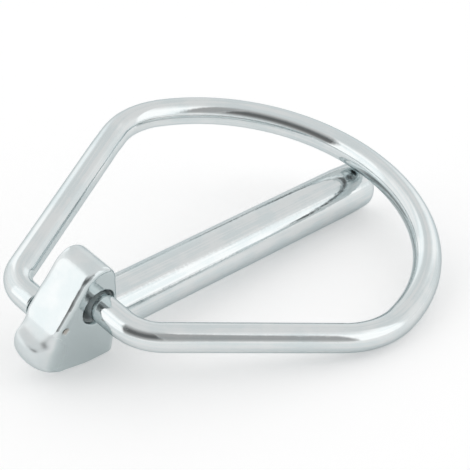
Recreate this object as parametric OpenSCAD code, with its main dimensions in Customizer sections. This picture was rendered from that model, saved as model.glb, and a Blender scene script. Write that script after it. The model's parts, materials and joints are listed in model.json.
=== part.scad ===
// Round wire lock pin: a forged pin with a flattened head, and a sprung wire bow that hinges in the
// head and closes over the tip. Millimetres. It lies on a flat surface as it comes to rest by itself:
// on the head, on the tip and on one side of the bow.

/* [Shank] */
// Diameter of the shank
shank_d = 6.35; // [5:0.05:8]
// Length of the full diameter, from the shoulder to the tip
grip_len = 41.5; // [36:0.1:44]
// Length of the tip beyond the full diameter
tip_len = 4.4; // [3:0.1:6]
// Diameter of the tip where its nose begins
tip_d = 6.1; // [4.8:0.05:6.3]
// Radius of the rounding between the tip's side and its end
tip_round = 1.7; // [0.5:0.1:2.2]

/* [Head] */
// Width of the head between its two flats
head_w = 5.8; // [5.4:0.1:6.6]
// Height of the crest above the shank's axis
crest_h = 9.6; // [9.2:0.1:12]
// Radius of the crest
crest_r = 2.7; // [2.2:0.1:3]
// Distance of the crest's centre behind the shoulder
crest_back = 3.3; // [3:0.1:4]
// Lean of the thumb face from upright
thumb_lean = 32; // [28:1:36]
// Height of the ledge at the foot of the thumb face, at the middle of the head
ledge_h = 1.05; // [0.7:0.05:1.6]
// Slope of the ledge, up to the second side
ledge_slope = 7; // [0:1:10]
// Depth of the sole below the shank's axis
sole_depth = 4.25; // [3.9:0.05:4.8]
// Length of the level sole, from the shoulder
sole_len = 2.5; // [1.5:0.1:4]
// Radius of the heel
heel_r = 4.15; // [3.9:0.05:4.6]
// Distance of the heel's centre behind the shoulder
heel_back = 7.45; // [7:0.05:7.8]
// Radius of the heel's crown, across the head
heel_crown = 5.6; // [5:0.1:9]
// Distance behind the shoulder of the edges where the flats end and the heel's corners are cut off
corner_back = 9; // [8.4:0.1:9.8]
// Angle of the heel's cut corners to the flats
corner_cut = 24; // [20:1:36]
// Angle to the flats at which the thumb face's lower corners are cut off
thumb_cut = 48; // [40:1:60]
// Lean of the cut corners from upright
corner_lean = 9; // [0:1:14]
// Rounding along the sides of the thumb face, the crest and the front
thumb_round = 0.65; // [0.2:0.05:0.7]
// Rounding along the sole's edges
sole_round = 0.45; // [0.2:0.05:1]
// Rounding of the shoulder's lower corner
lip_round = 0.7; // [0.3:0.05:1.2]

/* [Cross holes] */
// Distance of the hinge hole behind the shoulder
hinge_back = 2.7; // [2.5:0.1:3.4]
// Height of the hinge hole above the shank's axis
hinge_h = 4.1; // [3.9:0.1:4.8]
// Depth of the hinge hole from its flat
hinge_deep = 3.6; // [3.2:0.1:4]
// How far the second hole lies behind the hinge hole
far_hole_back = 3.9; // [3.7:0.1:4.1]
// How far the second hole lies below the hinge hole
far_hole_drop = 2.3; // [1.8:0.1:2.6]
// Depth of the second hole from its flat
far_deep = 2.1; // [1.6:0.1:2.4]
// Depth of the flare at the hinge hole's mouth
mouth_deep = 0.9; // [0.4:0.1:1.4]
// Widening of the flare, in radius
mouth_flare = 0.3; // [0.1:0.05:0.5]

/* [Bow] */
// Diameter of the spring wire
wire_d = 3.5; // [2.8:0.05:3.6]
// Radius of the round part of the loop, to the wire's centre
loop_r = 24.2; // [22:0.1:27]
// Distance of the loop's centre ahead of the hinge hole
loop_ahead = 22.3; // [20:0.1:24]
// Distance of the loop's centre to the hinge side of the shank
loop_side = 1.2; // [0:0.1:2]
// Radius of the loop's two corners
corner_r = 10; // [7:0.1:12]
// Reach of the hinge end from the shank's axis to its leg
near_reach = 9.3; // [8.6:0.1:11]
// Reach of the second end from the shank's axis to its leg
far_reach = 8.1; // [7.6:0.1:9.5]
// Angle of the hinge end's leg to the shank
near_leg_angle = 35.8; // [34:0.1:38]
// Angle of the second end's leg to the shank, seen from above
far_leg_angle = 25.8; // [24:0.1:28]
// Radius of the bend at the hinge end
near_bend_r = 5.6; // [3.5:0.1:6.5]
// Radius of the bend at the second end
far_bend_r = 4; // [3:0.1:5]
// Straight wire between the second corner and the dip to the lower hole
dip_after = 1.5; // [0.6:0.1:3]
// Half the length of the dip
dip_run = 1.2; // [0.6:0.1:2]
// How much the wire thins, in radius, where it is bent
bend_thin = 0.02; // [0.01:0.005:0.05]

/* [Clearances] */
// Radial clearance of the wire in the hinge hole
hinge_clear = 0.06; // [0.02:0.01:0.1]
// How far forward the spring draws the wire from the middle of the hinge hole
hinge_slack = 0.3; // [0:0.05:0.4]
// Clearance of the hinge end from the floor of its hole
end_clear = 0.4; // [0.2:0.05:0.8]
// Clearance of the second end from the head's flat and from the side of the shank
far_clear = 0.2; // [0.15:0.05:0.6]
// Clearance between the closed bow and the shank
rest_clear = 0.12; // [0.05:0.01:0.3]

/* [Hidden] */
$fn = 96;
// Overrun of every cut past the face it cuts
over = 1;
// Lap of a bend into the wire on both sides of it
bend_lap = 0.1;
// Depth to which the thumb face is pressed below the crest
thumb_press = 0.04;

shank_r = shank_d / 2;
wire_r = wire_d / 2;
half_w = head_w / 2;
hole_r = wire_r + hinge_clear;
hinge_hole_r = hole_r + hinge_slack;
head_reach = heel_back + heel_r + crest_h;
tip_x = grip_len + tip_len;
root_r = min(shank_r, head_w - shank_r);
nose_r = tip_d / 2;
nose_x = tip_x - tip_round;
hinge = [-hinge_back, 0, hinge_h];
hinge_hole = hinge - [hinge_slack, 0, 0];
far_hole = [-hinge_back - far_hole_back, 0, hinge_h - far_hole_drop];

// Head's side outline: the crest's centre, and where the thumb face and the front leave it
crest_z = crest_h - crest_r;
thumb_top = [-crest_back - crest_r * cos(thumb_lean), crest_z + crest_r * sin(thumb_lean)];
thumb_foot = [thumb_top[0] - thumb_top[1] * tan(thumb_lean), 0];
front_to = [crest_back, hinge_h - crest_z];
front_far = norm(front_to);
front_turn = atan2(front_to[1], front_to[0]) + acos(crest_r / front_far);
front_top = [-crest_back + crest_r * cos(front_turn), crest_z + crest_r * sin(front_turn)];
// Where the rising end of the sole runs into the end of the heel
heel_o = [-heel_back, 0];
heel_end_r = heel_r - heel_crown + sqrt(heel_crown * heel_crown - half_w * half_w);
sole_r = heel_end_r - thumb_press;
sole_to = heel_o - [-sole_len, -sole_depth];
sole_far = norm(sole_to);
sole_turn = atan2(-sole_to[1], -sole_to[0]) - acos(sole_r / sole_far);
sole_end = heel_o + sole_r * [cos(sole_turn), sin(sole_turn)];

// Bow, seen in its own plane: X runs ahead of the hinge hole, Y to the second end's side
rest_h = shank_r + wire_r + rest_clear - hinge_h;
loop_top = loop_ahead + loop_r;
tilt = asin(rest_h / loop_top);
loop_o = [loop_ahead, -loop_side, 0];
far_dx = -far_hole_back;
far_dz = -far_hole_drop;
far_knee = [
    far_dx * cos(tilt) + far_dz * sin(tilt),
    far_reach,
    far_dz * cos(tilt) - far_dx * sin(tilt)
];
near_knee = [0, -near_reach, 0];
near_u = [cos(near_leg_angle), -sin(near_leg_angle), 0];
near_n = [sin(near_leg_angle), cos(near_leg_angle), 0];
far_u = [cos(far_leg_angle), sin(far_leg_angle), 0];
far_n = [sin(far_leg_angle), -cos(far_leg_angle), 0];
inward = [0, -1, 0];

function unit(v) = v / norm(v);
function between(u, v) = acos(max(-1, min(1, u * v)));
// Reach of a bend's tangent from its knee
function tangent(u, v, r) = r * tan(between(u, v) / 2);
// Centre of the corner that touches a leg from inside and the loop from inside
function corner_o(knee, u, n) =
    let(base = [knee[0], knee[1], 0] + n * corner_r,
        to_o = loop_o - base,
        along = to_o * u,
        reach = loop_r - corner_r)
    base + u * (along + sqrt(reach * reach - to_o * to_o + along * along));
function loop_meets(o) = loop_o + unit(o - loop_o) * loop_r;
function turn_of(v) = atan2(v[1], v[0]);
function ahead_of(v) = [-v[1], v[0], 0];

near_corner_o = corner_o(near_knee, near_u, near_n);
far_corner_o = corner_o(far_knee, far_u, far_n);
near_leg_end = near_corner_o - near_n * corner_r;
far_leg_end = far_corner_o - far_n * corner_r;
near_meet = loop_meets(near_corner_o);
far_meet = loop_meets(far_corner_o);
near_meet_u = ahead_of(unit(near_meet - loop_o));
far_meet_u = ahead_of(unit(far_meet - loop_o));
loop_from = turn_of(near_meet - loop_o);
loop_turn = turn_of(far_meet - loop_o) - loop_from;

// Second leg: it leaves the loop's plane by a gentle dip and then runs straight to its knee
dip_start = far_leg_end - far_u * dip_after;
dip_knee = dip_start - far_u * dip_run;
far_w = unit(far_knee - dip_knee);
dip_r = dip_run / tan(between(-far_u, far_w) / 2);
dip_end = dip_knee + far_w * dip_run;
near_knee_t = tangent(inward, near_u, near_bend_r);
far_knee_t = tangent(far_w, inward, far_bend_r);
near_stub_end = hinge_deep - half_w - end_clear;
far_stub_end = max(half_w, shank_r) + far_clear;

// Sides of the bow, at the middle of each corner, in the pin's frame
function on_bow(p) = [hinge[0] + p[0] * cos(tilt), p[1], hinge[2] + p[0] * sin(tilt)];
near_low = on_bow(near_corner_o - [0, corner_r, 0]);
far_high = on_bow(far_corner_o + [0, corner_r, 0]);

// Rest on a flat surface: roll until the bow's near side is down, and pitch from the head to the tip
function roll_to(down) =
    asin((shank_r + down - wire_r) / norm([near_low[1], near_low[2]]))
    + atan2(near_low[2], -near_low[1]);
sole_low = [half_w - sole_round, sole_depth - sole_round];
function head_low_at(turn) = sole_low[0] * sin(turn) + sole_low[1] * cos(turn) + sole_round;
function pitch_at(low) = atan(min((low - shank_r) / grip_len, (low - nose_r) / nose_x));
function roll_at(low) = roll_to((grip_len - near_low[0]) * tan(pitch_at(low)));
head_low = head_low_at(roll_at(head_low_at(roll_to(0))));
pitch = pitch_at(head_low);
roll = roll_at(head_low);
lift = head_low * cos(pitch);
nose_up = nose_r - tip_round;
back_x = -heel_back * cos(pitch) - heel_r;
front_x = nose_x * cos(pitch) + nose_up * sin(pitch) + tip_round;
middle = [
    (front_x + back_x) / 2,
    (near_low[1] + far_high[1]) / 2 * cos(roll) - (near_low[2] + far_high[2]) / 2 * sin(roll)
];

// Places a piece, drawn along the shank's axis, as it lies at rest
module at_rest() {
    translate([-middle[0], -middle[1], lift])
        rotate([roll, pitch, 0])
            children();
}

// Straight wire between two points
module run(p, q) {
    d = unit(q - p);
    side = unit(cross([0, 0, 1], d));
    up = cross(d, side);
    multmatrix([
        [side[0], up[0], d[0], p[0]],
        [side[1], up[1], d[1], p[1]],
        [side[2], up[2], d[2], p[2]],
        [0, 0, 0, 1]
    ])
        cylinder(h = norm(q - p), r = wire_r);
}

// Bent wire that starts at p along u and ends along v
module bend(p, u, v, r) {
    n = unit(v - u * (u * v));
    o = p + n * r;
    axis = cross(u, n);
    lap = bend_lap / r * 180 / PI;
    multmatrix([
        [-n[0], u[0], axis[0], o[0]],
        [-n[1], u[1], axis[1], o[1]],
        [-n[2], u[2], axis[2], o[2]],
        [0, 0, 0, 1]
    ])
        rotate(-lap)
            rotate_extrude(angle = between(u, v) + 2 * lap)
                translate([r, 0])
                    circle(r = wire_r - bend_thin);
}

// Round shank, run out into the head's flats, with a slightly tapered tip and a blunt rounded nose
module shank() {
    rotate([0, 90, 0])
        rotate_extrude()
            intersection() {
                union() {
                    polygon([
                        [0, -crest_back],
                        [root_r, -crest_back],
                        [shank_r, 0],
                        [shank_r, grip_len],
                        [nose_r, nose_x],
                        [0, nose_x]
                    ]);
                    translate([0, nose_x - over])
                        square([nose_r - tip_round, tip_round + over]);
                    translate([nose_r - tip_round, nose_x])
                        circle(r = tip_round);
                }
                translate([0, -crest_back])
                    square([shank_r, crest_back + tip_x]);
            }
}

// Side outline of the flattened part of the head, drawn with the crest up
module head_outline() {
    translate([-lip_round, lip_round - sole_depth])
        circle(r = lip_round);
    polygon([
        [0, lip_round - sole_depth],
        [0, hinge_h],
        front_top,
        [-crest_back, crest_z],
        thumb_top,
        thumb_foot,
        sole_end,
        [-sole_len, -sole_depth],
        [-lip_round, -sole_depth],
        [-lip_round, lip_round - sole_depth]
    ]);
}

// Outline of the head seen along the shank
module head_front() {
    low = half_w - sole_round;
    for (s = [-1, 1])
        translate([s * low, sole_round - sole_depth])
            circle(r = sole_round);
    polygon([
        [-low, -sole_depth],
        [low, -sole_depth],
        [low, sole_round - sole_depth],
        [half_w, sole_round - sole_depth],
        [half_w, head_reach],
        [-half_w, head_reach],
        [-half_w, sole_round - sole_depth],
        [-low, sole_round - sole_depth]
    ]);
}

// Solid under a face that touches the crest, turned to that face, with its two sides rounded
module under_face(turn) {
    side = half_w - thumb_round;
    translate([-crest_back, 0, crest_z])
        rotate([0, -turn, 0])
            translate([crest_r - thumb_press, 0, 0])
                linear_extrude(height = 2 * head_reach, center = true) {
                    for (s = [-1, 1])
                        translate([-thumb_round, s * side])
                            circle(r = thumb_round);
                    polygon([
                        [0, -side],
                        [-thumb_round, -side],
                        [-thumb_round, -half_w],
                        [-2 * head_reach, -half_w],
                        [-2 * head_reach, half_w],
                        [-thumb_round, half_w],
                        [-thumb_round, side],
                        [0, side]
                    ]);
                }
}

// Round crest, lying across the head, with rounded ends
module crest() {
    side = half_w - thumb_round;
    rotate([90, 0, 0])
        rotate_extrude() {
            translate([0, -half_w])
                square([crest_r - thumb_round, head_w]);
            translate([0, -side])
                square([crest_r, 2 * side]);
            for (s = [-1, 1])
                translate([crest_r - thumb_round, s * side])
                    circle(r = thumb_round);
        }
}

// Crowned heel, lying across the head, with a sloping ledge on top
module heel() {
    intersection() {
        rotate([90, 0, 0])
            rotate_extrude()
                intersection() {
                    translate([heel_r - heel_crown, 0])
                        circle(r = heel_crown);
                    translate([0, -half_w])
                        square([heel_r + over, head_w]);
                }
        translate([0, 0, ledge_h])
            rotate([ledge_slope, 0, 0])
                translate([-head_reach, -head_reach, -2 * head_reach])
                    cube(2 * head_reach);
    }
}

// Upright solid with its two back corners cut off at an angle
module cut_corners(angle) {
    edge = -corner_back + over / tan(angle);
    point = -corner_back - half_w / tan(angle);
    rotate([0, corner_lean, 0])
        linear_extrude(height = 2 * head_reach, center = true)
            polygon([
                [point, 0],
                [edge, -half_w - over],
                [head_reach, -half_w - over],
                [head_reach, half_w + over],
                [edge, half_w + over]
            ]);
}

// Forged head, before the holes
module head_blank() {
    intersection() {
        rotate([90, 0, 0])
            linear_extrude(height = head_w, center = true)
                head_outline();
        translate([-head_reach, 0, 0])
            rotate([90, 0, 90])
                linear_extrude(height = head_reach + over)
                    head_front();
        under_face(180 - thumb_lean);
        under_face(front_turn);
        cut_corners(thumb_cut);
    }
    intersection() {
        translate([-heel_back, 0, 0])
            heel();
        cut_corners(corner_cut);
    }
    translate([-crest_back, 0, crest_z])
        crest();
}

// Blind hole drilled in from the flat at +Y
module cross_hole(deep, r) {
    rotate([-90, 0, 0])
        translate([0, 0, half_w - deep])
            cylinder(h = deep + over, r = r);
}

// Flare at the mouth of a hole in the flat at +Y
module mouth(r) {
    rotate([-90, 0, 0])
        translate([0, 0, half_w - mouth_deep])
            cylinder(h = 2 * mouth_deep, r1 = r, r2 = r + 2 * mouth_flare);
}

module pin() {
    color("silver")
        at_rest()
            difference() {
                union() {
                    shank();
                    head_blank();
                }
                translate(hinge_hole)
                    mirror([0, 1, 0]) {
                        cross_hole(hinge_deep, hinge_hole_r);
                        mouth(hinge_hole_r);
                    }
                translate(far_hole)
                    cross_hole(far_deep, hole_r);
            }
}

module bow() {
    color("lightsteelblue")
        at_rest()
            translate(hinge)
                rotate([0, -tilt, 0]) {
                    run([0, near_stub_end, 0], near_knee - inward * near_knee_t);
                    bend(near_knee - inward * near_knee_t, inward, near_u, near_bend_r);
                    run(near_knee + near_u * near_knee_t, near_leg_end);
                    bend(near_leg_end, near_u, near_meet_u, corner_r);
                    translate(loop_o)
                        rotate(loop_from)
                            rotate_extrude(angle = loop_turn)
                                translate([loop_r, 0])
                                    circle(r = wire_r);
                    bend(far_meet, far_meet_u, -far_u, corner_r);
                    run(far_leg_end, dip_start);
                    bend(dip_start, -far_u, far_w, dip_r);
                    run(dip_end, far_knee - far_w * far_knee_t);
                    bend(far_knee - far_w * far_knee_t, far_w, inward, far_bend_r);
                    run(far_knee + inward * far_knee_t, [far_knee[0], far_stub_end, far_knee[2]]);
                }
}

pin();
bow();
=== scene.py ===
"""Looks of a round wire lock pin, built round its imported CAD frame.

The pin is a forged head on a plain round shank, and the bow is one length of bent spring wire. Both are
bright zinc plated. Sizes are in millimetres along the shank, and a rest frame turns them to metres where
the pin lies.
"""

import json
import logging
import math
from collections.abc import Callable
from dataclasses import dataclass, field
from enum import Enum

import bmesh
import bpy
from mathutils import Matrix, Vector


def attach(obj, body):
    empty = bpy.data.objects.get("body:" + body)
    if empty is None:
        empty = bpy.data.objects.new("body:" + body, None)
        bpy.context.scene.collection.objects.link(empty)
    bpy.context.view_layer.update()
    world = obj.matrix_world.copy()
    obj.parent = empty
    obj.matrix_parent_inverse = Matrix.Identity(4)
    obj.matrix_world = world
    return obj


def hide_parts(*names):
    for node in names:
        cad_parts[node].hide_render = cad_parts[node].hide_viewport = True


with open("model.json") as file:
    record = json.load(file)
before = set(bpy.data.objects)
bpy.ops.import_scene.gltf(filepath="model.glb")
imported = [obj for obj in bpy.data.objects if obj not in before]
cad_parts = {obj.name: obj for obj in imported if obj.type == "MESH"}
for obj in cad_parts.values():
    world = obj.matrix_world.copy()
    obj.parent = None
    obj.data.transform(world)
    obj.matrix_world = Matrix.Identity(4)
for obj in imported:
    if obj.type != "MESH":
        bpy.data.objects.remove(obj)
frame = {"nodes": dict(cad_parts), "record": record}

LOG = logging.getLogger("lock_pin")
MM = 0.001

Socket = bpy.types.NodeSocket
Triple = tuple[float, float, float]
Colour = tuple[float, float, float]
Outline = list[tuple[float, float]]
Route = list[tuple[Vector, float]]


class Grain(Enum):
    """How the bare metal was worked before it was plated."""

    FORGED = "forged"
    DRAWN = "drawn"


class End(Enum):
    """The two ends of the bow, by the side of the head that they meet."""

    HINGE = -1
    SECOND = 1


def new_piece(name: str, mesh: bpy.types.Mesh) -> bpy.types.Object:
    """Links a mesh into the scene as a piece at the origin.

    Args:
        name: The piece's name.
        mesh: Its mesh.

    Returns:
        The new object.
    """
    piece = bpy.data.objects.new(name, mesh)
    bpy.context.scene.collection.objects.link(piece)
    return piece


def plain_mesh(piece: bpy.types.Object, name: str) -> bpy.types.Mesh:
    """Gives the mesh that a piece's live modifiers make.

    Args:
        piece: The piece.
        name: The mesh's name.

    Returns:
        The new mesh.
    """
    graph = bpy.context.evaluated_depsgraph_get()
    mesh = bpy.data.meshes.new_from_object(piece.evaluated_get(graph), depsgraph=graph)
    mesh.name = name
    return mesh


def settle(piece: bpy.types.Object) -> None:
    """Turns a piece's live modifiers into its plain mesh.

    Args:
        piece: The piece.
    """
    mesh = plain_mesh(piece, piece.name)
    piece.modifiers.clear()
    piece.data = mesh


def lathe(name: str, profile: Outline, segments: int) -> bpy.types.Object:
    """Revolves an open profile about X into a closed round solid.

    Args:
        name: The piece's name.
        profile: Pairs of place along X and radius, whose ends lie off the axis.
        segments: How many steps go round.

    Returns:
        The new object.
    """
    form = bmesh.new()
    rings = []
    for along, radius in profile:
        ring = []
        for step in range(segments):
            turn = 2 * math.pi * step / segments
            ring.append(form.verts.new((along, radius * math.cos(turn), radius * math.sin(turn))))
        rings.append(ring)
    for first, second in zip(rings, rings[1:]):
        for step in range(segments):
            after = (step + 1) % segments
            form.faces.new((first[step], first[after], second[after], second[step]))
    form.faces.new(rings[0])
    form.faces.new(list(reversed(rings[-1])))
    bmesh.ops.recalc_face_normals(form, faces=form.faces)
    mesh = bpy.data.meshes.new(name)
    form.to_mesh(mesh)
    form.free()
    return new_piece(name, mesh)


def cut_with(piece: bpy.types.Object, tool: bpy.types.Object, operation: str) -> None:
    """Joins a tool solid to a piece, or takes it away, and deletes the tool.

    Args:
        piece: The piece that changes.
        tool: The other solid.
        operation: A Boolean modifier's operation.
    """
    change = piece.modifiers.new(operation.lower(), "BOOLEAN")
    change.operation = operation
    change.solver = "MANIFOLD"
    change.object = tool
    settle(piece)
    bpy.data.objects.remove(tool)


def rise_over(distance: float, width: float) -> float:
    """Rises from nought to one over a width.

    Args:
        distance: How far in the place is.
        width: The width of the rise.

    Returns:
        The share, from nought to one.
    """
    return min(1.0, max(0.0, distance / width))


@dataclass(frozen=True)
class NodeWeb:
    """Adds nodes to a tree and joins them.

    Attributes:
        tree: The tree of a material, of the world or of a modifier.
    """

    # Places of the colour sockets on a Mix node, whose names are the same for every kind.
    MIX_SHARE, MIX_FIRST, MIX_SECOND, MIX_RESULT = 0, 6, 7, 2

    tree: bpy.types.NodeTree

    def add(self, kind: str) -> bpy.types.Node:
        """Adds a node of a kind."""
        return self.tree.nodes.new(kind)

    def join(self, start: Socket, end: Socket) -> None:
        """Links an output to an input."""
        self.tree.links.new(start, end)

    def maths(self, operation: str, first: Socket, second: Socket | float = 0.0) -> Socket:
        """Combines two values.

        Args:
            operation: A Math node's operation.
            first: The first value.
            second: The second value, or a number.

        Returns:
            The result.
        """
        node = self.add("ShaderNodeMath")
        node.operation = operation
        self.join(first, node.inputs[0])
        if isinstance(second, (int, float)):
            node.inputs[1].default_value = second
        else:
            self.join(second, node.inputs[1])
        return node.outputs["Value"]

    def vector(self, operation: str, place: Socket, fixed: Vector | Triple) -> bpy.types.Node:
        """Combines a place with a fixed vector.

        Args:
            operation: A Vector Math node's operation.
            place: The place.
            fixed: The vector.

        Returns:
            The node.
        """
        node = self.add("ShaderNodeVectorMath")
        node.operation = operation
        node.inputs[1].default_value = fixed
        self.join(place, node.inputs[0])
        return node

    def axis(self, place: Socket, name: str) -> Socket:
        """Gives one of a place's three lengths.

        Args:
            place: The place.
            name: The length's axis.

        Returns:
            The length.
        """
        split = self.add("ShaderNodeSeparateXYZ")
        self.join(place, split.inputs["Vector"])
        return split.outputs[name]

    def ramp(self, value: Socket, start: float, stop: float, low: float, high: float) -> Socket:
        """Maps a value smoothly from one range to another.

        Args:
            value: The value.
            start: Where the change starts.
            stop: Where it stops.
            low: The result at the start.
            high: The result at the stop.

        Returns:
            The result.
        """
        node = self.add("ShaderNodeMapRange")
        node.interpolation_type = "SMOOTHSTEP"
        for name, amount in (("From Min", start), ("From Max", stop), ("To Min", low), ("To Max", high)):
            node.inputs[name].default_value = amount
        self.join(value, node.inputs["Value"])
        return node.outputs["Result"]

    def noise(self, place: Socket, size: float, detail: float) -> Socket:
        """Gives noise of a size.

        Args:
            place: Where it is read.
            size: Size of its patches, in the place's units.
            detail: How many finer layers it has.

        Returns:
            The noise, about a half.
        """
        node = self.add("ShaderNodeTexNoise")
        node.inputs["Scale"].default_value = 1 / size
        node.inputs["Detail"].default_value = detail
        self.join(place, node.inputs["Vector"])
        return node.outputs["Fac"]

    def blend(self, share: Socket, first: Socket | Colour, second: Colour) -> Socket:
        """Mixes two colours.

        Args:
            share: Share of the second colour.
            first: The first colour.
            second: The second colour.

        Returns:
            The mixed colour.
        """
        node = self.add("ShaderNodeMix")
        node.data_type = "RGBA"
        self.join(share, node.inputs[self.MIX_SHARE])
        if isinstance(first, tuple):
            node.inputs[self.MIX_FIRST].default_value = (*first, 1.0)
        else:
            self.join(first, node.inputs[self.MIX_FIRST])
        node.inputs[self.MIX_SECOND].default_value = (*second, 1.0)
        return node.outputs[self.MIX_RESULT]


def blank_material(name: str) -> tuple[bpy.types.Material, NodeWeb]:
    """Makes a material with no nodes in it yet.

    Args:
        name: The material's name.

    Returns:
        The material and its nodes.
    """
    material = bpy.data.materials.new(name)
    material.use_nodes = True
    material.node_tree.nodes.clear()
    return material, NodeWeb(material.node_tree)


@dataclass(frozen=True)
class RestFrame:
    """Where the pin's own axes lie at rest: X along the shank from the shoulder, Z to the crest.

    Attributes:
        matrix: Turns millimetres in the pin's axes to metres in the scene.
    """

    matrix: Matrix

    @classmethod
    def from_record(cls, record: dict, hinge: Vector) -> "RestFrame":
        """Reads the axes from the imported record's shank and hinge.

        Args:
            record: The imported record.
            hinge: The hinge's place in the pin's axes, in millimetres.

        Returns:
            The rest frame.
        """
        joint = record["behaviour"]["joints"][0]
        mount = record["mounts"][0]
        along = Vector(mount["axis"]).normalized()
        across = -Vector(joint["axis"])
        across = (across - along * across.dot(along)).normalized()
        up = along.cross(across)
        turn = Matrix((along, across, up)).transposed()
        start = Vector(joint["pos_m"]) - turn @ (hinge * MM)
        return cls(Matrix.Translation(start) @ turn.to_4x4() @ Matrix.Scale(MM, 4))

    def place(self, piece: bpy.types.Object) -> None:
        """Moves a piece's mesh from the pin's axes to the scene."""
        piece.data.transform(self.matrix)


@dataclass(frozen=True)
class RustSpot:
    """A small rusty fleck, where the plate is thin.

    Attributes:
        centre: Its place in the piece's own axes, in millimetres.
        radius: Its radius, in millimetres.
        core: Share of that radius within which it is full.
        colour: Its colour.
        share: How much of the plate it hides.
    """

    centre: Triple
    radius: float
    core: float = 0.35
    colour: Colour = (0.34, 0.285, 0.235)
    share: float = 0.75


@dataclass(frozen=True)
class DullPatch:
    """A part of the forging that is duller than the rest, such as the heel or a drilled hole.

    Attributes:
        centre: Its middle along the pin and upwards, in millimetres.
        radius: Its radius round that point, seen from the side, in millimetres.
        blur: Half the width of its soft border, in millimetres.
        rough: Its roughness.
        bright: How much of the plate's metal look it keeps.
        end: The side of the head that it is on, if it isn't on both.
        floor: How far out from the middle it starts on that side, in millimetres.
    """

    centre: tuple[float, float]
    radius: float
    blur: float
    rough: float
    bright: float = 1.0
    end: End | None = None
    floor: float = 0.0

    def where(self, web: NodeWeb, place: Socket) -> Socket:
        """Gives where the patch is.

        Args:
            web: The material's nodes.
            place: Each point's place in the piece's own axes.

        Returns:
            One inside it and nought elsewhere, with a soft border.
        """
        side = web.vector("MULTIPLY", place, (1.0, 0.0, 1.0)).outputs["Vector"]
        along, up = self.centre
        away = web.vector("DISTANCE", side, (along, 0.0, up)).outputs["Value"]
        inside = web.ramp(away, self.radius - self.blur, self.radius + self.blur, 1.0, 0.0)
        if self.end is None:
            return inside
        out = web.maths("MULTIPLY", web.axis(place, "Y"), float(self.end.value))
        return web.maths("MULTIPLY", inside, web.maths("GREATER_THAN", out, self.floor))


@dataclass(frozen=True)
class Marks:
    """The patterns that a plate's colour, roughness and relief share.

    Attributes:
        cloud: Its cloudy patches, about a half.
        peel: Its fine unevenness, about nought.
        lines: The lines of drawn steel, about nought.
    """

    cloud: Socket
    peel: Socket
    lines: Socket


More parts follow.
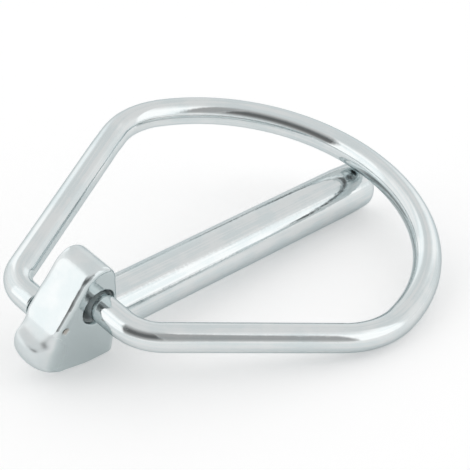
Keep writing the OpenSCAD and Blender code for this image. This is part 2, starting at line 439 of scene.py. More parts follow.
@dataclass(frozen=True)
class ZincPlate:
    """Bright bluish zinc plate over steel, with the marks of how the steel was worked.

    Attributes:
        grain: How the steel below was worked.
        pale: Colour of the clean plate.
        cool: Colour where the plate is thicker and bluer.
        tint_span: Span of the patterns over which the colour changes.
        grazing: Tint of what it mirrors at a grazing angle.
        smooth: Lowest roughness.
        dull: Highest roughness.
        rough_span: Span of the patterns over which the roughness changes.
        mottle: Size of the plate's cloudy patches, in millimetres.
        peel: Size of its fine unevenness, in millimetres.
        peel_deep: Depth of that unevenness, in millimetres.
        line: Width of the lines that drawing leaves, in millimetres.
        line_deep: Depth of those lines, in millimetres.
        line_tint: How much the lines show in the plate's colour.
        stretch: How many times longer than wide the lines are.
        drawn_from: Where drawn metal begins along the pin, in millimetres.
        line_fade: Half the length over which the lines begin there, in millimetres.
        spot: A rusty fleck, if there is one.
        flat: Distance of the trimmed flats from the middle, in millimetres, if there are any.
        flat_painted_shade: Darker colour on those flats, painted shade for the shadowed floor that they
            mirror.
        flat_depth: How deep below the flats that colour starts and is full, in millimetres.
        flat_end: How far behind the drawn metal it fades and ends, in millimetres.
        patches: Parts that are duller than the rest.
    """

    grain: Grain
    pale: Colour = (0.74, 0.766, 0.768)
    cool: Colour = (0.668, 0.722, 0.732)
    tint_span: tuple[float, float] = (0.3, 0.7)
    grazing: Colour = (0.62, 0.67, 0.68)
    smooth: float = 0.06
    dull: float = 0.17
    rough_span: tuple[float, float] = (0.25, 0.85)
    mottle: float = 3.2
    peel: float = 0.5
    peel_deep: float = 0.004
    line: float = 0.35
    line_deep: float = 0.006
    line_tint: float = 1.2
    stretch: float = 60.0
    drawn_from: float = 0.3
    line_fade: float = 0.6
    spot: RustSpot | None = None
    flat: float | None = None
    # Painted shade: a darker colour for the flats, standing for the shadowed floor that they mirror.
    flat_painted_shade: Colour = (0.575, 0.635, 0.642)
    flat_depth: tuple[float, float] = (0.35, 0.05)
    flat_end: tuple[float, float] = (0.9, 0.3)
    patches: tuple[DullPatch, ...] = ()

    def own_axes(self, web: NodeWeb, rest: RestFrame) -> Socket:
        """Gives each point's place in the piece's own axes, in millimetres.

        Args:
            web: The material's nodes.
            rest: The rest frame, whose axes the pin's pattern follows.

        Returns:
            The place, with the length of the steel along X on the pin and along Z on the wire.
        """
        if self.grain is Grain.DRAWN:
            where = web.add("ShaderNodeAttribute")
            where.attribute_name = WireBow.SURFACE
            return where.outputs["Vector"]
        where = web.add("ShaderNodeTexCoord")
        turn = web.add("ShaderNodeMapping")
        turn.vector_type = "TEXTURE"
        turn.inputs["Location"].default_value = rest.matrix.to_translation()
        turn.inputs["Rotation"].default_value = rest.matrix.to_euler()
        turn.inputs["Scale"].default_value = (MM, MM, MM)
        web.join(where.outputs["Object"], turn.inputs["Vector"])
        return turn.outputs["Vector"]

    def drawn_lines(self, web: NodeWeb, place: Socket) -> Socket:
        """Gives the long lines of drawn steel, which fade out into a forged head.

        Args:
            web: The material's nodes.
            place: Each point's place in the piece's own axes.

        Returns:
            The lines, about nought.
        """
        drawn = self.grain is Grain.DRAWN
        thin = 1 / self.stretch
        along = web.add("ShaderNodeMapping")
        along.inputs["Scale"].default_value = (1, 1, thin) if drawn else (thin, 1, 1)
        web.join(place, along.inputs["Vector"])
        lines = web.noise(along.outputs["Vector"], self.line, detail=2.0)
        level = web.maths("SUBTRACT", lines, 0.5)
        if drawn:
            return level
        start, stop = self.drawn_from - self.line_fade, self.drawn_from + self.line_fade
        return web.maths("MULTIPLY", level, web.ramp(web.axis(place, "X"), start, stop, 0.0, 1.0))

    def on_flats(self, web: NodeWeb, place: Socket) -> Socket:
        """Gives where the head's trimmed flats are, which take the painted shade.

        Args:
            web: The material's nodes.
            place: Each point's place in the piece's own axes.

        Returns:
            One on the flats and nought elsewhere, with a soft border.
        """
        starts, full = self.flat_depth
        across = web.maths("ABSOLUTE", web.axis(place, "Y"))
        out = web.ramp(across, self.flat - starts, self.flat - full, 0.0, 1.0)
        fades, ends = self.flat_end
        head = web.ramp(web.axis(place, "X"), self.drawn_from - fades, self.drawn_from - ends, 1.0, 0.0)
        return web.maths("MULTIPLY", out, head)

    def colour(self, web: NodeWeb, place: Socket, marks: Marks) -> Socket:
        """Gives the plate's colour, with painted shade on its flats and its fleck of rust.

        Args:
            web: The material's nodes.
            place: Each point's place in the piece's own axes.
            marks: The plate's patterns.

        Returns:
            The colour.
        """
        streaks = web.maths("ADD", marks.cloud, web.maths("MULTIPLY", marks.lines, self.line_tint))
        colour = web.blend(web.ramp(streaks, *self.tint_span, 0.0, 1.0), self.pale, self.cool)
        if self.flat:
            # Painted shade: the flats are darkened to stand for the shadowed floor that they mirror.
            colour = web.blend(self.on_flats(web, place), colour, self.flat_painted_shade)
        if self.spot:
            radius = self.spot.radius
            away = web.vector("DISTANCE", place, self.spot.centre).outputs["Value"]
            ragged = web.maths("ADD", away, web.maths("MULTIPLY", marks.peel, radius))
            rust = web.ramp(ragged, radius * self.spot.core, radius, self.spot.share, 0.0)
            colour = web.blend(rust, colour, self.spot.colour)
        return colour

    def polish(self, web: NodeWeb, place: Socket, marks: Marks, metal: bpy.types.Node) -> None:
        """Sets how rough the plate is and how bright its dull patches are left.

        Args:
            web: The material's nodes.
            place: Each point's place in the piece's own axes.
            marks: The plate's patterns.
            metal: The shader.
        """
        patchy = web.maths("ADD", marks.cloud, web.maths("ADD", marks.peel, marks.lines))
        rough = web.ramp(patchy, *self.rough_span, self.smooth, self.dull)
        bright = None
        for patch in self.patches:
            share = patch.where(web, place)
            rough = web.maths("MAXIMUM", rough, web.maths("MULTIPLY", share, patch.rough))
            if patch.bright < 1:
                left = web.ramp(share, 0.0, 1.0, 1.0, patch.bright)
                bright = web.maths("MINIMUM", left, bright) if bright else left
        web.join(rough, metal.inputs["Roughness"])
        if bright:
            web.join(bright, metal.inputs["Metallic"])

    def relief(self, web: NodeWeb, marks: Marks) -> Socket:
        """Gives the surface's direction with the plate's fine relief.

        Args:
            web: The material's nodes.
            marks: The plate's patterns.

        Returns:
            The direction.
        """
        uneven = web.maths("MULTIPLY", marks.peel, self.peel_deep)
        scored = web.maths("MULTIPLY", marks.lines, self.line_deep)
        bump = web.add("ShaderNodeBump")
        bump.inputs["Strength"].default_value = 1.0
        bump.inputs["Distance"].default_value = MM
        web.join(web.maths("ADD", uneven, scored), bump.inputs["Height"])
        return bump.outputs["Normal"]

    def material(self, name: str, rest: RestFrame) -> bpy.types.Material:
        """Builds the plate as a node material.

        Args:
            name: The material's name.
            rest: The rest frame, whose axes the pin's pattern follows.

        Returns:
            The material.
        """
        plate, web = blank_material(name)
        out = web.add("ShaderNodeOutputMaterial")
        metal = web.add("ShaderNodeBsdfPrincipled")
        metal.inputs["Metallic"].default_value = 1.0
        metal.inputs["Specular Tint"].default_value = (*self.grazing, 1.0)
        web.join(metal.outputs["BSDF"], out.inputs["Surface"])
        place = self.own_axes(web, rest)
        cloud = web.noise(place, self.mottle, detail=4.0)
        peel = web.maths("SUBTRACT", web.noise(place, self.peel, detail=2.0), 0.5)
        marks = Marks(cloud, peel, self.drawn_lines(web, place))
        web.join(self.colour(web, place, marks), metal.inputs["Base Color"])
        self.polish(web, place, marks, metal)
        web.join(self.relief(web, marks), metal.inputs["Normal"])
        return plate


@dataclass(frozen=True)
class Hole:
    """A blind hole across the head.

    Attributes:
        end: The side that it opens to.
        centre: Its centre on the head's middle plane.
        radius: Its radius.
        deep: Its depth from the flat.
        flare: Widening of its mouth.
        flare_deep: Depth of that flare.
    """

    end: End
    centre: Vector
    radius: float
    deep: float
    flare: float
    flare_deep: float


@dataclass
class ForgedPin:
    """The forged head and the round shank, as one plated piece.

    Attributes:
        shank_r: Radius of the shank.
        grip_len: Length of the full diameter, from the shoulder.
        grip_steps: Steps of the mesh along it.
        tip_len: Length of the tip beyond it.
        tip_r: Radius of the tip where its nose begins.
        tip_round: Rounding of the nose.
        nose_steps: Steps of the mesh over that rounding.
        end_rings: Rings on the flat end, as shares of its radius.
        half_w: Half the head's width between its flats.
        root: How far the shank's core runs into the head.
        root_taper: How much thinner the core is at its end there.
        overlap: How far the full shank runs into the head.
        hinge: Place of the wire's end in the hinge hole.
        slack: How far forward the spring draws the wire in that hole.
        hinge_hole_r: Radius of the hinge hole.
        hinge_deep: Depth of the hinge hole.
        flare: Widening of the hinge hole's mouth.
        flare_deep: Depth of that flare.
        flare_steps: Steps of the mesh down a hole's flare.
        second: Centre of the second hole.
        second_hole_r: Radius of the second hole.
        second_deep: Depth of the second hole.
        second_flare: Widening and depth of the second hole's mouth.
        fill_past: How far a filling runs into the metal round its hole.
        drill_past: How far a drill stands out of its hole.
        pit: Place of a small forging pit on the hinge side.
        pit_r: Radius of the pit.
        pit_deep: Depth of the pit.
        voxel: Step of the mesh that softens the forged edges.
        same_point: Distance within which the CAD mesh's corners are one.
        ease_share: How far each easing moves a point to the middle of its neighbours.
        soften: How many times the edges are eased.
        soften_heel: How many more times the heel's edges are eased.
        soften_rim: How many more times the thumb face's upper side edges are eased.
        thumb_lean: Lean of the thumb face from the upright, in degrees.
        rim: Where those edges start, on the thumb face.
        rim_wide: How far from the thumb face they are eased.
        rim_soft: Width over which that easing ends.
        rim_rise: Height over which it starts.
        heel_from: Where the heel starts along the pin.
        heel_top: Where it ends upwards.
        heel_soft: Width over which its easing starts.
        heel: Middle of its dull part, along the pin and upwards.
        heel_r: Radius of that part.
        crease: Angle past which an edge is left sharp, in degrees.
        segments: Steps round the shank and the holes.
    """

    shank_r: float = 3.1745
    grip_len: float = 41.5
    grip_steps: int = 46
    tip_len: float = 4.4
    tip_r: float = 3.05
    tip_round: float = 1.7
    nose_steps: int = 14
    end_rings: tuple[float, ...] = (0.66, 0.33, 0.04)
    half_w: float = 2.9
    root: float = 2.4
    root_taper: float = 0.4
    overlap: float = 0.02
    hinge: Vector = field(default_factory=lambda: Vector((-2.7, 0.0, 4.1)))
    slack: float = 0.3
    hinge_hole_r: float = 2.11
    hinge_deep: float = 3.6
    flare: float = 0.3
    flare_deep: float = 0.9
    flare_steps: int = 6
    second: Vector = field(default_factory=lambda: Vector((-6.6, 0.0, 1.8)))
    second_hole_r: float = 1.81
    second_deep: float = 2.1
    second_flare: float = 0.1
    fill_past: float = 0.05
    drill_past: float = 1.0
    pit: Vector = field(default_factory=lambda: Vector((-7.8, -2.88, 2.75)))
    pit_r: float = 0.65
    pit_deep: float = 0.22
    voxel: float = 0.08
    same_point: float = 1e-4
    ease_share: float = 0.5
    soften: int = 10
    soften_heel: int = 320
    soften_rim: int = 160
    thumb_lean: float = 32.0
    rim: Vector = field(default_factory=lambda: Vector((-7.75, 0.0, 5.3)))
    rim_wide: float = 1.3
    rim_soft: float = 0.5
    rim_rise: float = 1.0
    heel_from: float = -7.9
    heel_top: float = 3.0
    heel_soft: float = 0.8
    heel: tuple[float, float] = (-10.6, -0.4)
    heel_r: float = 3.2
    crease: float = 38.0
    segments: int = 128

    def nose_profile(self) -> Outline:
        """Lists the shank's outline from inside the head to the end of its nose.

        Returns:
            Pairs of place along the shank and radius.
        """
        nose_x = self.grip_len + self.tip_len - self.tip_round
        profile = [(-self.root, self.shank_r - self.root_taper), (-self.overlap, self.shank_r)]
        for step in range(1, self.grip_steps + 1):
            profile.append((self.grip_len * step / self.grip_steps, self.shank_r))
        profile.append(((self.grip_len + nose_x) / 2, (self.shank_r + self.tip_r) / 2))
        for step in range(self.nose_steps + 1):
            turn = math.pi / 2 * step / self.nose_steps
            along = nose_x + self.tip_round * math.sin(turn)
            profile.append((along, self.tip_r - self.tip_round * (1 - math.cos(turn))))
        flat = self.tip_r - self.tip_round
        profile += [(self.grip_len + self.tip_len, flat * share) for share in self.end_rings]
        return profile

    def holes(self) -> tuple[Hole, Hole]:
        """Gives the two cross holes.

        Returns:
            The hinge hole and the second hole.
        """
        hinge = self.hinge - Vector((self.slack, 0, 0))
        first = Hole(
            End.HINGE, hinge, self.hinge_hole_r, self.hinge_deep, self.flare, self.flare_deep
        )
        second = Hole(
            End.SECOND, self.second, self.second_hole_r, self.second_deep,
            self.second_flare, self.second_flare,
        )
        return first, second

    def hole_tool(self, hole: Hole, profile: Outline) -> bpy.types.Object:
        """Turns the solid that fills or cuts one cross hole.

        Args:
            hole: The hole.
            profile: Its outline, out from the head's middle.

        Returns:
            The solid.
        """
        tool = lathe("hole", profile, self.segments)
        tool.data.transform(Matrix.Rotation(math.pi / 2 * hole.end.value, 4, "Z"))
        tool.data.transform(Matrix.Translation(hole.centre))
        return tool

    def filling(self, hole: Hole) -> bpy.types.Object:
        """Makes the solid that fills a hole to the flat.

        Args:
            hole: The hole.

        Returns:
            The solid.
        """
        wide = hole.radius + hole.flare + self.fill_past
        inner = self.half_w - hole.deep - self.fill_past
        return self.hole_tool(hole, [(inner, wide), (self.half_w, wide)])

    def drill(self, hole: Hole) -> bpy.types.Object:
        """Makes the solid that cuts a hole with its flared mouth.

        Args:
            hole: The hole.

        Returns:
            The solid.
        """
        profile = [(self.half_w - hole.deep, hole.radius)]
        for step in range(self.flare_steps + 1):
            turn = math.pi / 2 * step / self.flare_steps
            along = self.half_w - hole.flare_deep * (1 - math.sin(turn))
            profile.append((along, hole.radius + hole.flare * (1 - math.cos(turn))))
        profile.append((self.half_w + self.drill_past, hole.radius + hole.flare))
        return self.hole_tool(hole, profile)

    def finish(self) -> ZincPlate:
        """Gives the pin's plate, with a dull heel, bare holes and a fleck of rust in its pit.

        Returns:
            The plate.
        """
        patches = [DullPatch(centre=self.heel, radius=self.heel_r, blur=0.4, rough=0.42)]
        for hole in self.holes():
            patches.append(DullPatch(
                centre=(hole.centre.x, hole.centre.z), radius=hole.radius + hole.flare / 2,
                blur=0.05, rough=0.5, bright=0.3,
                end=hole.end, floor=self.half_w - hole.deep - self.fill_past,
            ))
        return ZincPlate(
            Grain.FORGED, peel_deep=0.01, line_deep=0.018, flat=self.half_w,
            spot=RustSpot(tuple(self.pit), self.pit_r), patches=tuple(patches),
        )

    def on_heel(self, place: Vector) -> float:
        """Gives how far a point belongs to the heel and its ledge, from nought to one."""
        behind = rise_over(self.heel_from - place.x, self.heel_soft)
        return behind * rise_over(self.heel_top - place.z, self.heel_soft)

    def on_rim(self, place: Vector) -> float:
        """Gives how far a point belongs to the thumb face's upper side edges.

        Args:
            place: The point in the pin's axes.

        Returns:
            The share, from nought to one.
        """
        lean = math.radians(self.thumb_lean)
        ahead = place.x - self.rim.x - math.tan(lean) * (place.z - self.rim.z)
        near = rise_over(self.rim_wide - abs(ahead * math.cos(lean)), self.rim_soft)
        side = rise_over(abs(place.y) - self.half_w / 2, self.rim_soft)
        return near * side * rise_over(place.z - self.rim.z, self.rim_rise)

    def dent(self, mesh: bpy.types.Mesh) -> None:
        """Presses the small forging pit into the head.

        Args:
            mesh: The head's mesh in the pin's axes.
        """
        for vertex in mesh.vertices:
            share = 1 - ((vertex.co - self.pit).length / self.pit_r) ** 2
            if share > 0:
                vertex.co.y += self.pit_deep * share**2

    def cut_off_head(self, rest: RestFrame, node: bpy.types.Object) -> bpy.types.Object:
        """Cuts the head off a copy of the CAD pin, at the shoulder.

        Args:
            rest: The rest frame.
            node: The CAD pin.

        Returns:
            The head in the pin's axes, closed where it was cut.
        """
        mesh = node.data.copy()
        mesh.transform(rest.matrix.inverted())
        form = bmesh.new()
        form.from_mesh(mesh)
        bmesh.ops.remove_doubles(form, verts=form.verts, dist=self.same_point)
        cut = bmesh.ops.bisect_plane(
            form, geom=form.verts[:] + form.edges[:] + form.faces[:],
            plane_co=(0, 0, 0), plane_no=(1, 0, 0), clear_outer=True,
        )
        border = [e for e in cut["geom_cut"] if isinstance(e, bmesh.types.BMEdge)]
        bmesh.ops.holes_fill(form, edges=border, sides=0)
        bmesh.ops.recalc_face_normals(form, faces=form.faces)
        form.to_mesh(mesh)
        form.free()
        return new_piece("head", mesh)

    def ease(
        self, head: bpy.types.Object, rounds: int, belongs: Callable[[Vector], float] | None = None
    ) -> None:
        """Adds an easing of the head's edges.

        Args:
            head: The head.
            rounds: How many times they are eased.
            belongs: How far a point is eased, if it isn't all of the head.
        """
        change = head.modifiers.new("ease", "SMOOTH")
        change.factor = self.ease_share
        change.iterations = rounds
        if belongs is None:
            return
        group = head.vertex_groups.new(name=belongs.__name__)
        for vertex in head.data.vertices:
            share = belongs(vertex.co)
            if share > 0:
                group.add([vertex.index], share, "REPLACE")
        change.vertex_group = group.name

    def head(self, rest: RestFrame, node: bpy.types.Object) -> bpy.types.Object:
        """Makes the head from the CAD node, with its holes filled and its forged edges eased.

        Args:
            rest: The rest frame.
            node: The CAD pin.

        Returns:
            The head in the pin's axes.
        """
        head = self.cut_off_head(rest, node)
        for hole in self.holes():
            cut_with(head, self.filling(hole), "UNION")
        remesh = head.modifiers.new("remesh", "REMESH")
        remesh.mode = "VOXEL"
        remesh.voxel_size = self.voxel
        settle(head)
        self.ease(head, self.soften)
        self.ease(head, self.soften_heel, self.on_heel)
        self.ease(head, self.soften_rim, self.on_rim)
        settle(head)
        head.vertex_groups.clear()
        self.dent(head.data)
        return head

    def build(self, rest: RestFrame, node: bpy.types.Object) -> bpy.types.Object:
        """Joins the head and the shank, and drills the cross holes.

        Args:
            rest: The rest frame.
            node: The CAD pin, which the piece stands for.

        Returns:
            The plated pin.
        """
        pin = self.head(rest, node)
        cut_with(pin, lathe("shank", self.nose_profile(), self.segments), "UNION")
        for hole in self.holes():
            cut_with(pin, self.drill(hole), "DIFFERENCE")
        pin.name = pin.data.name = "plated_pin"
        pin.data.shade_smooth()
        pin.data.set_sharp_from_angle(angle=math.radians(self.crease))
        rest.place(pin)
        pin.data.materials.clear()
        pin.data.materials.append(self.finish().material("zinc_on_forging", rest))
        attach(pin, "pin")
        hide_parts("pin")
        LOG.info("plated_pin: %d faces", len(pin.data.polygons))
        return pin


@dataclass(frozen=True)
class Leg:
    """One of the bow's two straight legs and the corner that leads it into the loop.

    Attributes:
        along: Direction of the leg, away from the head.
        end: Where its corner starts.
        out: Direction from the loop's centre to where the corner meets the loop.
    """

    along: Vector
    end: Vector
    out: Vector

    @property
    def meet(self) -> Vector:
        """Direction of the wire where the corner meets the loop."""
        return Vector((-self.out.y, self.out.x, 0))


@dataclass
class WireBow:
    """The bent spring wire that hinges in the head and closes over the tip.

    Its route lies in the bow's own plane, with X ahead from the hinge and Y to the second side.

    Attributes:
        hinge: The hinge's place in the pin's axes.
        wire_r: Radius of the wire.
        thin: How much it thins where it is bent.
        tilt: Rise of the loop's plane from the shank, in degrees.
        loop_r: Radius of the round part, to the wire's centre.
        loop_ahead: Distance of its centre ahead of the hinge.
        loop_side: Distance of its centre to the hinge side.
        corner_r: Radius of the two corners.
        near_reach: Reach of the hinge end from the shank's axis.
        far_reach: Reach of the second end from the shank's axis.
        near_angle: Angle of the hinge end's leg, in degrees.
        far_angle: Angle of the second end's leg, in degrees.
        near_bend_r: Bend at the hinge end.
        far_bend_r: Bend at the second end.
        far_back: How far the second end lies behind the hinge.
        far_drop: How far it lies below the hinge.
        dip_after: Straight wire before the dip.
        dip_run: Half the dip's length.
        near_stop: Where the hinge end stops, across the head.
        far_stop: Where the second end stops, across the head.
        chamfer: Rounding of the cut ends.
        chamfer_steps: Steps of the mesh over that rounding.
        profile: Steps round the wire.
        straight_step: Length of a step along straight wire.
        bend_step: Angle of a step round a bend, in degrees.
        bend_least: Fewest steps round a bend.
        loop_step: Angle of a step round the loop, in degrees.
        same_point: Distance within which two points of the route are one.
        crease: Angle past which an edge is left sharp, in degrees.
    """

    SURFACE = "wire_surface"

    hinge: Vector
    wire_r: float = 1.747
    thin: float = 0.02
    tilt: float = 1.16448
    loop_r: float = 24.2
    loop_ahead: float = 22.3
    loop_side: float = 1.2
    corner_r: float = 10.0
    near_reach: float = 9.3
    far_reach: float = 8.1
    near_angle: float = 35.8
    far_angle: float = 25.8
    near_bend_r: float = 5.6
    far_bend_r: float = 4.0
    far_back: float = 3.9
    far_drop: float = 2.3
    dip_after: float = 1.5
    dip_run: float = 1.2
    near_stop: float = 0.3
    far_stop: float = 3.375
    chamfer: float = 0.25
    chamfer_steps: int = 4
    profile: int = 56
    straight_step: float = 1.2
    bend_step: float = 3.0
    bend_least: int = 6
    loop_step: float = 1.5
    same_point: float = 1e-3
    crease: float = 50.0

    @property
    def loop_centre(self) -> Vector:
        """Centre of the round part, in the bow's plane."""
        return Vector((self.loop_ahead, -self.loop_side, 0))

    def straight(self, start: Vector, stop: Vector) -> Route:
        """Lists points along straight wire, from where it starts to where it stops."""
        count = max(2, int((stop - start).length / self.straight_step))
        return [(start.lerp(stop, step / count), self.wire_r) for step in range(count + 1)]

    def bend(self, start: Vector, before: Vector, after: Vector, radius: float) -> Route:
        """Lists points along a bend, inside which the wire thins.

        Args:
            start: Where it starts.
            before: Direction of the wire there.
            after: Direction of the wire at its end.
            radius: Radius of the bend.

        Returns:
            Pairs of a point and the wire's radius there, with both ends.
        """
        side = (after - before * before.dot(after)).normalized()
        centre = start + side * radius
        whole = before.angle(after)
        count = max(self.bend_least, int(math.degrees(whole) / self.bend_step))
        points = []
        for step in range(count + 1):
            turn = whole * step / count
            point = centre - side * radius * math.cos(turn) + before * radius * math.sin(turn)
            points.append((point, self.wire_r - (self.thin if 0 < step < count else 0.0)))
        return points

    def round_part(self, near: Leg, far: Leg) -> Route:
        """Lists points round the loop, from the one leg's corner to the other's.

        Args:
            near: The hinge end's leg.
            far: The second end's leg.

        Returns:
            Pairs of a point and the wire's radius there.
        """
        begin = math.atan2(near.out.y, near.out.x)
        whole = math.atan2(far.out.y, far.out.x) - begin
        count = int(math.degrees(whole) / self.loop_step)
        points = []
        for step in range(count + 1):
            turn = begin + whole * step / count
            out = Vector((math.cos(turn), math.sin(turn), 0))
            points.append((self.loop_centre + out * self.loop_r, self.wire_r))
        return points

    def leg(self, knee: Vector, angle: float, end: End) -> Leg:
        """Fits a leg and the corner that touches it and the loop from inside.

        Args:
            knee: Where the leg's line meets the wire's end.
            angle: The leg's angle, in degrees.
            end: The end of the bow that it leads to.

        Returns:
            The leg.
        """
        turn = math.radians(angle)
        along = Vector((math.cos(turn), end.value * math.sin(turn), 0))
        inside = Vector((math.sin(turn), -end.value * math.cos(turn), 0))
        base = Vector((knee.x, knee.y, 0)) + inside * self.corner_r
        to_loop = self.loop_centre - base
        ahead = to_loop.dot(along)
        reach = self.loop_r - self.corner_r
        ahead += math.sqrt(reach**2 - to_loop.length_squared + ahead**2)
        corner = base + along * ahead
        return Leg(along, corner - inside * self.corner_r, (corner - self.loop_centre).normalized())

    def route(self) -> Route:
        """Lists the wire's centre line from the hinge end to the second end.

        Returns:
            Pairs of a point in the bow's plane and the wire's radius there.
        """
        tilt = math.radians(self.tilt)
        inward = Vector((0, -1, 0))
        near_knee = Vector((0, -self.near_reach, 0))
        far_knee = Vector((
            -self.far_back * math.cos(tilt) - self.far_drop * math.sin(tilt),
            self.far_reach,
            -self.far_drop * math.cos(tilt) + self.far_back * math.sin(tilt),
        ))
        near = self.leg(near_knee, self.near_angle, End.HINGE)
        far = self.leg(far_knee, self.far_angle, End.SECOND)

        # The second end lies lower and further back, so its leg dips to it after a short straight.
        dip_start = far.end - far.along * self.dip_after
        dip_knee = dip_start - far.along * self.dip_run
        slant = (far_knee - dip_knee).normalized()
        dip_r = self.dip_run / math.tan((-far.along).angle(slant) / 2)

        near_trim = self.near_bend_r * math.tan(inward.angle(near.along) / 2)
        far_trim = self.far_bend_r * math.tan(slant.angle(inward) / 2)
        near_start = near_knee - inward * near_trim
        far_start = far_knee - slant * far_trim
        far_end = Vector((far_knee.x, self.far_stop, far_knee.z))
        loop = self.round_part(near, far)
        runs = (
            self.straight(Vector((0, self.near_stop, 0)), near_start),
            self.bend(near_start, inward, near.along, self.near_bend_r),
            self.straight(near_knee + near.along * near_trim, near.end),
            self.bend(near.end, near.along, near.meet, self.corner_r),
            loop,
            self.bend(loop[-1][0], far.meet, -far.along, self.corner_r),
            self.straight(far.end, dip_start),
            self.bend(dip_start, -far.along, slant, dip_r),
            self.straight(dip_knee + slant * self.dip_run, far_start),
            self.bend(far_start, slant, inward, self.far_bend_r),
            self.straight(far_knee + inward * far_trim, far_end),
        )
        line: Route = []
        for run in runs:
            for point, radius in run:
                if not line or (line[-1][0] - point).length >= self.same_point:
                    line.append((point, radius))
        return self.with_cut_ends(line)

    def with_cut_ends(self, line: Route) -> Route:
        """Adds the small rounding that the cut ends of the wire have.

        Args:
            line: The route with plain ends.

        Returns:
            The route with rounded ends.
        """
        for last, before in ((0, 1), (-1, -2)):
            end, radius = line[last]
            back = (line[before][0] - end).normalized()
            cut = []
            for step in range(self.chamfer_steps + 1):
                turn = math.pi / 2 * step / self.chamfer_steps
                slip = self.chamfer * (1 - math.sin(turn))
                cut.append((end + back * slip, radius - self.chamfer * (1 - math.cos(turn))))
            line = cut[::-1] + line[1:] if last == 0 else line[:-1] + cut
        return line

    def wire_tree(self) -> bpy.types.NodeTree:
        """Builds the node tree that sweeps the round wire along its centre line.

        Returns:
            The tree, with the wire's radius, the steps round it and its material as inputs.
        """
        tree = bpy.data.node_groups.new("wire_along_route", "GeometryNodeTree")
        tree.is_modifier = True
        for name, kind in (
            ("Route", "Geometry"), ("Wire radius", "Float"), ("Steps round", "Int"), ("Plate", "Material")
        ):
            tree.interface.new_socket(name, in_out="INPUT", socket_type="NodeSocket" + kind)
        tree.interface.new_socket("Wire", in_out="OUTPUT", socket_type="NodeSocketGeometry")
        web = NodeWeb(tree)

        def keep(kind: str, name: str, geometry: Socket, value: Socket) -> Socket:
            """Stores a value of each point under a name.

            Args:
                kind: The value's data type.
                name: The name.
                geometry: The geometry.
                value: The value.

            Returns:
                The geometry with the value.
            """
            node = web.add("GeometryNodeStoreNamedAttribute")
            node.data_type, node.domain = kind, "POINT"
            node.inputs["Name"].default_value = name
            web.join(geometry, node.inputs["Geometry"])
            web.join(value, node.inputs["Value"])
            return node.outputs["Geometry"]

        def kept(kind: str, name: str) -> Socket:
            """Reads what was stored under a name.

            Args:
                kind: The value's data type.
                name: The name.

            Returns:
                The value.
            """
            node = web.add("GeometryNodeInputNamedAttribute")
            node.data_type = kind
            node.inputs["Name"].default_value = name
            return node.outputs["Attribute"]

        given = web.add("NodeGroupInput")
        length = web.add("GeometryNodeSplineParameter").outputs["Length"]
        route = keep("FLOAT", "along", given.outputs["Route"], length)
        circle = web.add("GeometryNodeCurvePrimitiveCircle")
        web.join(given.outputs["Steps round"], circle.inputs["Resolution"])
        web.join(given.outputs["Wire radius"], circle.inputs["Radius"])
        spot = web.add("GeometryNodeInputPosition").outputs["Position"]
        section = keep("FLOAT_VECTOR", "round", circle.outputs["Curve"], spot)

        sweep = web.add("GeometryNodeCurveToMesh")
        sweep.inputs["Fill Caps"].default_value = True
        web.join(route, sweep.inputs["Curve"])
        web.join(section, sweep.inputs["Profile Curve"])
        web.join(web.add("GeometryNodeInputRadius").outputs["Radius"], sweep.inputs["Scale"])

        # The plate's pattern reads where a point is round the wire and along it.
        surface = web.add("ShaderNodeCombineXYZ")
        place = kept("FLOAT_VECTOR", "round")
        for axis in ("X", "Y"):
            web.join(web.axis(place, axis), surface.inputs[axis])
        web.join(kept("FLOAT", "along"), surface.inputs["Z"])
        wire = keep("FLOAT_VECTOR", self.SURFACE, sweep.outputs["Mesh"], surface.outputs["Vector"])

        whole = web.add("GeometryNodeRealizeInstances")
        web.join(wire, whole.inputs["Geometry"])
        dress = web.add("GeometryNodeSetMaterial")
        web.join(whole.outputs["Geometry"], dress.inputs["Geometry"])
        web.join(given.outputs["Plate"], dress.inputs["Material"])
        web.join(dress.outputs["Geometry"], web.add("NodeGroupOutput").inputs["Wire"])
        return tree

    def sweep(self, rest: RestFrame) -> bpy.types.Mesh:
        """Sweeps the wire along its route.

        Args:
            rest: The rest frame.

        Returns:
            The wire's mesh in the bow's plane.
        """
        route = self.route()
        curve = bpy.data.curves.new("route", "CURVE")
        curve.dimensions = "3D"
        spline = curve.splines.new("POLY")
        spline.points.add(len(route) - 1)
        for point, (place, radius) in zip(spline.points, route):
            point.co = (*place, 1.0)
            point.radius = radius / self.wire_r
        path = bpy.data.objects.new("route", curve)
        bpy.context.scene.collection.objects.link(path)
        tree = self.wire_tree()
        change = path.modifiers.new("wire", "NODES")
        change.node_group = tree
        plate = ZincPlate(Grain.DRAWN).material("zinc_on_wire", rest)
        values = {"Wire radius": self.wire_r, "Steps round": self.profile, "Plate": plate}
        for item in tree.interface.items_tree:
            if item.in_out == "INPUT" and item.name in values:
                change[item.identifier] = values[item.name]
        mesh = plain_mesh(path, "plated_bow")
        bpy.data.objects.remove(path)
        return mesh

    def build(self, rest: RestFrame) -> bpy.types.Object:
        """Makes the wire and places it in the head.

        Args:
            rest: The rest frame.

        Returns:
            The plated bow.
        """
        mesh = self.sweep(rest)
        bow = new_piece("plated_bow", mesh)
        form = bmesh.new()
        form.from_mesh(mesh)
        bmesh.ops.recalc_face_normals(form, faces=form.faces)
        form.to_mesh(mesh)
        form.free()
        mesh.shade_smooth()
        mesh.set_sharp_from_angle(angle=math.radians(self.crease))
        rise = Matrix.Rotation(-math.radians(self.tilt), 4, "Y")
        mesh.transform(Matrix.Translation(self.hinge) @ rise)
        rest.place(bow)
        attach(bow, "bow")
        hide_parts("bow")
        LOG.info("plated_bow: %d faces", len(mesh.polygons))
        return bow


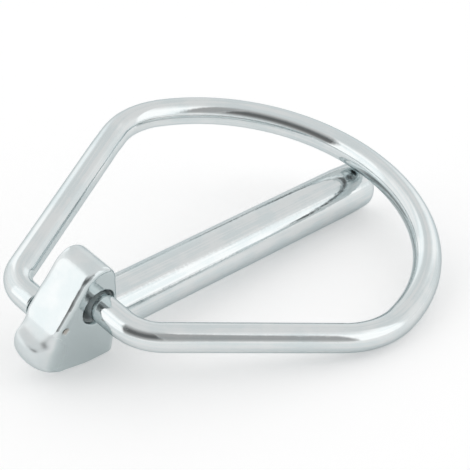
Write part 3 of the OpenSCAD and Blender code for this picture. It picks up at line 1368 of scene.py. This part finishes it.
@dataclass(frozen=True)
class Panel:
    """A patch of the tent that is brighter or darker than the rest, with soft edges.

    Attributes:
        azimuth: Direction of its middle from +X to +Y, in degrees.
        height: Height of its middle above the horizon, in degrees.
        wide: Half its width, in degrees.
        high: Half its height, in degrees.
        side_blur: Half the width of its soft sides, in degrees.
        end_blur: Half the width of its soft top and bottom, in degrees.
        tone: Its brightness.
    """

    azimuth: float
    height: float
    wide: float
    high: float
    side_blur: float
    end_blur: float
    tone: float

    def axes(self) -> tuple[Vector, Vector]:
        """Gives the level directions to the panel and to its side.

        Returns:
            The two directions.
        """
        turn = math.radians(self.azimuth)
        to = Vector((math.cos(turn), math.sin(turn), 0))
        return to, Vector((-to.y, to.x, 0))


@dataclass
class Studio:
    """A pale floor in a white tent, which has paler panels and a dark opening round the camera.

    Attributes:
        eye: The camera's place, in metres.
        look: The direction that it looks in.
        top: The direction that is up in its picture.
        lens: Its focal length, in millimetres.
        sensor: Width of its sensor, in millimetres.
        near: The nearest that it sees, in metres.
        floor_r: Radius of the floor, in metres.
        floor_steps: Steps round the floor.
        floor_tone: How much light the floor gives back.
        floor_glow: What is added to it so that it shows as white.
        tent: Brightness of the tent's sides.
        overhead: Brightness of the tent overhead.
        bend: Where the sides turn to the top, by the sine of the height.
        panels: The five paler panels, and the opening with its half dark border.
    """

    eye: Triple = (-0.135262, -0.149955, 0.119271)
    look: Triple = (0.59364, 0.64441, -0.48201)
    top: Triple = (0.38068, 0.30284, 0.87371)
    lens: float = 146.525
    sensor: float = 36.0
    near: float = 0.005
    floor_r: float = 3.0
    floor_steps: int = 96
    floor_tone: float = 0.82
    floor_glow: float = 0.27
    tent: float = 0.98
    overhead: float = 0.86
    bend: tuple[float, float] = (0.35, 0.7)
    panels: tuple[Panel, ...] = (
        Panel(azimuth=-70, height=21, wide=27, high=31, side_blur=4, end_blur=15, tone=1.29),
        Panel(azimuth=152, height=26, wide=21, high=38, side_blur=4, end_blur=9, tone=1.29),
        Panel(azimuth=9, height=15, wide=11, high=21, side_blur=5, end_blur=9, tone=1.21),
        Panel(azimuth=74, height=32, wide=12, high=24, side_blur=6, end_blur=12, tone=1.28),
        Panel(azimuth=108, height=38, wide=23, high=26, side_blur=7, end_blur=12, tone=1.08),
        Panel(azimuth=-153.5, height=31, wide=33.5, high=24, side_blur=3, end_blur=19, tone=0.16),
        Panel(azimuth=-109, height=31, wide=11, high=29, side_blur=3, end_blur=15, tone=0.45),
    )

    def camera(self) -> None:
        """Puts the camera where the photograph was taken from."""
        back = -Vector(self.look).normalized()
        up = Vector(self.top)
        up = (up - back * up.dot(back)).normalized()
        side = up.cross(back)
        lens = bpy.data.cameras.new("camera")
        lens.lens = self.lens
        lens.sensor_width = self.sensor
        lens.clip_start = self.near
        eye = bpy.data.objects.new("camera", lens)
        turn = Matrix((side, up, back)).transposed().to_4x4()
        eye.matrix_world = Matrix.Translation(self.eye) @ turn
        bpy.context.scene.collection.objects.link(eye)
        bpy.context.scene.camera = eye

    def floor(self) -> None:
        """Lays the pale floor, which keeps the pin's shadow."""
        form = bmesh.new()
        bmesh.ops.create_circle(form, cap_ends=True, segments=self.floor_steps, radius=self.floor_r)
        mesh = bpy.data.meshes.new("floor")
        form.to_mesh(mesh)
        form.free()
        floor = new_piece("floor", mesh)
        pale, web = blank_material("pale_floor")
        out = web.add("ShaderNodeOutputMaterial")
        matt = web.add("ShaderNodeBsdfDiffuse")
        matt.inputs["Color"].default_value = (self.floor_tone, self.floor_tone, self.floor_tone, 1.0)
        glow = web.add("ShaderNodeEmission")
        ray = web.add("ShaderNodeLightPath")
        seen = web.maths("MAXIMUM", ray.outputs["Is Camera Ray"], ray.outputs["Is Glossy Ray"])
        seen = web.maths("MAXIMUM", seen, ray.outputs["Is Transmission Ray"])
        web.join(web.maths("MULTIPLY", seen, self.floor_glow), glow.inputs["Strength"])
        both = web.add("ShaderNodeAddShader")
        web.join(matt.outputs["BSDF"], both.inputs[0])
        web.join(glow.outputs["Emission"], both.inputs[1])
        web.join(both.outputs["Shader"], out.inputs["Surface"])
        mesh.materials.append(pale)

    def light(self) -> None:
        """Hangs the white tent with its panels."""
        world = bpy.data.worlds.new("tent")
        world.use_nodes = True
        bpy.context.scene.world = world
        world.node_tree.nodes.clear()
        web = NodeWeb(world.node_tree)
        out = web.add("ShaderNodeOutputWorld")
        cloth = web.add("ShaderNodeBackground")
        cloth.inputs["Color"].default_value = (1.0, 1.0, 1.0, 1.0)
        web.join(cloth.outputs["Background"], out.inputs["Surface"])
        where = web.add("ShaderNodeTexCoord").outputs["Generated"]

        def lean(direction: Vector) -> Socket:
            """Gives how far a ray leans to a direction."""
            return web.vector("DOT_PRODUCT", where, direction).outputs["Value"]

        def edge(angle: Socket, half: float, blur: float) -> Socket:
            """Fades a panel out past half its size, in degrees."""
            return web.ramp(angle, math.radians(half - blur), math.radians(half + blur), 1.0, 0.0)

        up = lean(Vector((0, 0, 1)))
        level = web.ramp(up, *self.bend, self.tent, self.overhead)
        rise = web.maths("ARCSINE", up)
        for panel in self.panels:
            to, side = panel.axes()
            aside = web.maths("ABSOLUTE", web.maths("ARCTAN2", lean(side), lean(to)))
            above = web.maths("ABSOLUTE", web.maths("SUBTRACT", rise, math.radians(panel.height)))
            sides = edge(aside, panel.wide, panel.side_blur)
            inside = web.maths("MULTIPLY", sides, edge(above, panel.high, panel.end_blur))
            change = web.maths("MULTIPLY", web.maths("SUBTRACT", level, panel.tone), inside)
            level = web.maths("SUBTRACT", level, change)
        web.join(level, cloth.inputs["Strength"])

    def build(self) -> None:
        """Sets up the floor, the light and the camera."""
        bpy.context.scene.view_settings.view_transform = "Standard"
        self.camera()
        self.floor()
        self.light()
        LOG.info("studio: floor, tent and camera")


def main() -> None:
    """Builds the pin, the bow and the studio, and logs the face counts of the pin and the bow."""
    logging.basicConfig(level=logging.INFO, format="%(name)s %(message)s")
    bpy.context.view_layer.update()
    pin = ForgedPin()
    rest = RestFrame.from_record(frame["record"], pin.hinge)
    Studio().build()
    pin.build(rest, frame["nodes"]["pin"])
    WireBow(hinge=pin.hinge).build(rest)


if __name__ == "__main__":
    main()
